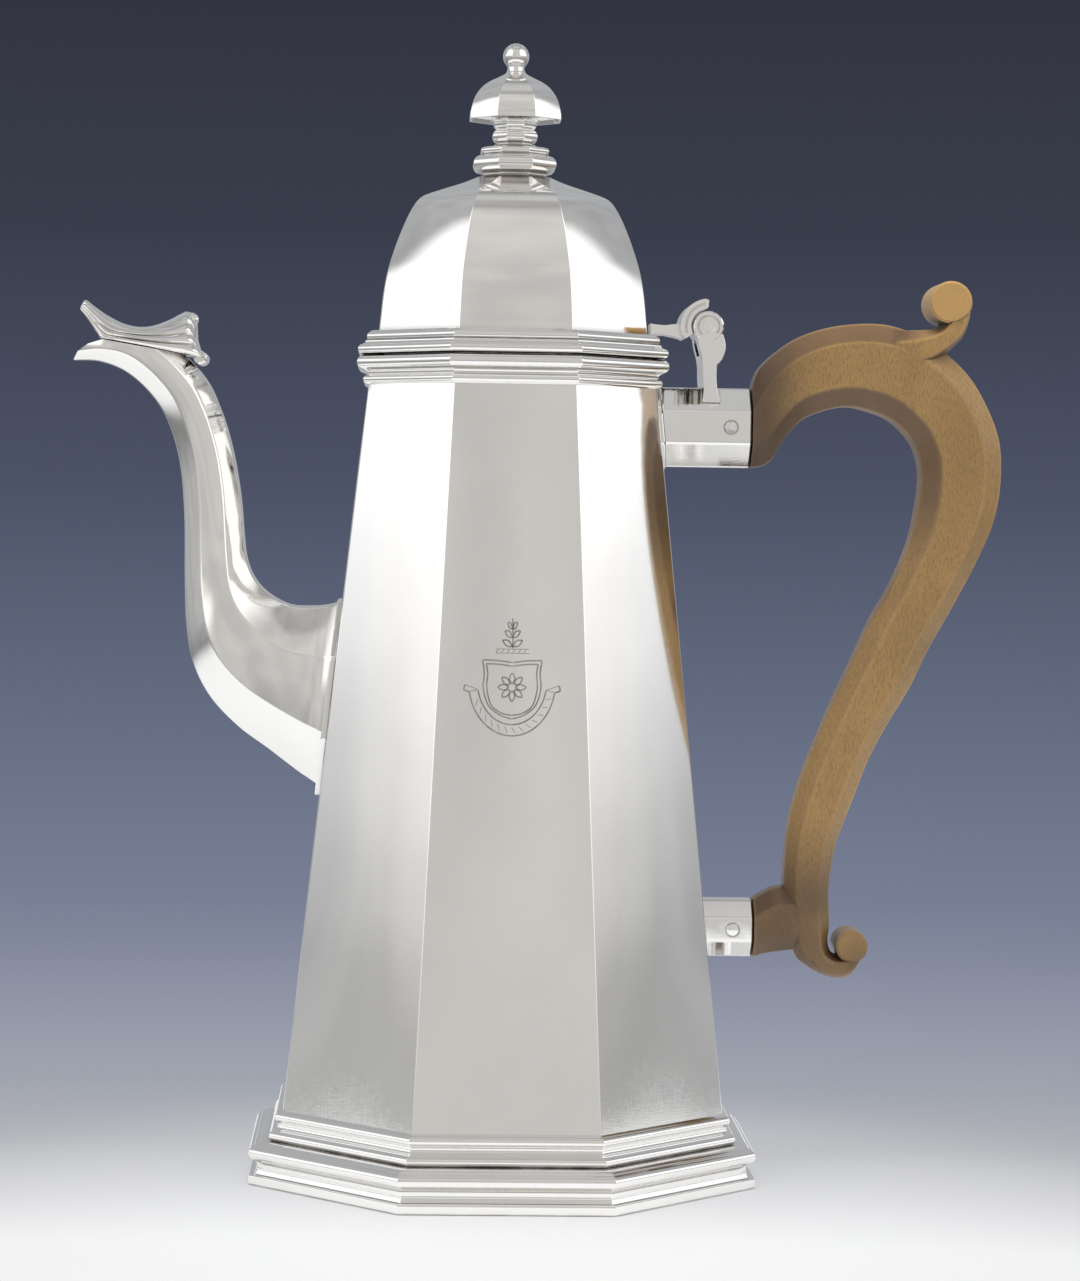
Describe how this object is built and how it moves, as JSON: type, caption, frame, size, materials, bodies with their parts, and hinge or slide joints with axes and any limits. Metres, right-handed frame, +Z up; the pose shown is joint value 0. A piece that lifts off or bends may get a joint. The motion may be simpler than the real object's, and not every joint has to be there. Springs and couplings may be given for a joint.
{
  "type": "coffee pot",
  "caption": "Tall tapering octagonal silver coffee pot with a hinged domed lid, a bell finial, a swan-neck spout and a scrolled wooden handle in silver sockets.",
  "frame": {"origin": "middle of the whole pot's bounding box, on the table under the foot; the pot's own axis stands 6.4 mm to the -X side of it", "axes": "+Z up from the table; +X from the spout towards the handle; +Y completes the right-handed frame, so the pot is symmetric about the XZ plane"},
  "size_m": [0.209, 0.112, 0.2541],
  "materials": {
    "silver": "polished sterling silver with faint wear",
    "silver_inside": "plain silver, left less polished",
    "boxwood": "waxed, darkened by handling"
  },
  "bodies": {
    "pot": {"foot_rim": "silver", "foot_skirt": "silver", "foot_moulding": "silver", "base_plate": "silver_inside", "body_shell": "silver", "body_rim_moulding": "silver", "spout_flange": "silver", "spout_shell": "silver", "spout_bill": "silver", "upper_socket_plate": "silver", "upper_handle_socket": "silver", "lower_handle_socket": "silver", "upper_handle_pin": "silver", "lower_handle_pin": "silver", "handle": "boxwood", "hinge_post": "silver", "hinge_pin": "silver"},
    "lid": {"lid_rim_moulding": "silver", "lid_step_moulding": "silver", "lid_dome": "silver", "lid_bezel": "silver_inside", "lid_hinge_arm": "silver", "finial_collar": "silver", "finial_stem": "silver", "finial_bell": "silver", "finial_stud": "silver_inside", "finial_washer": "silver_inside", "finial_nut": "silver_inside"}
  },
  "joints": [
    {"name": "lid_hinge", "type": "hinge", "parent": "pot", "child": "lid", "pos_m": [0.03744, 0, 0.19105], "axis": [0, 1, 0], "range_deg": [0, 105]}
  ]
}
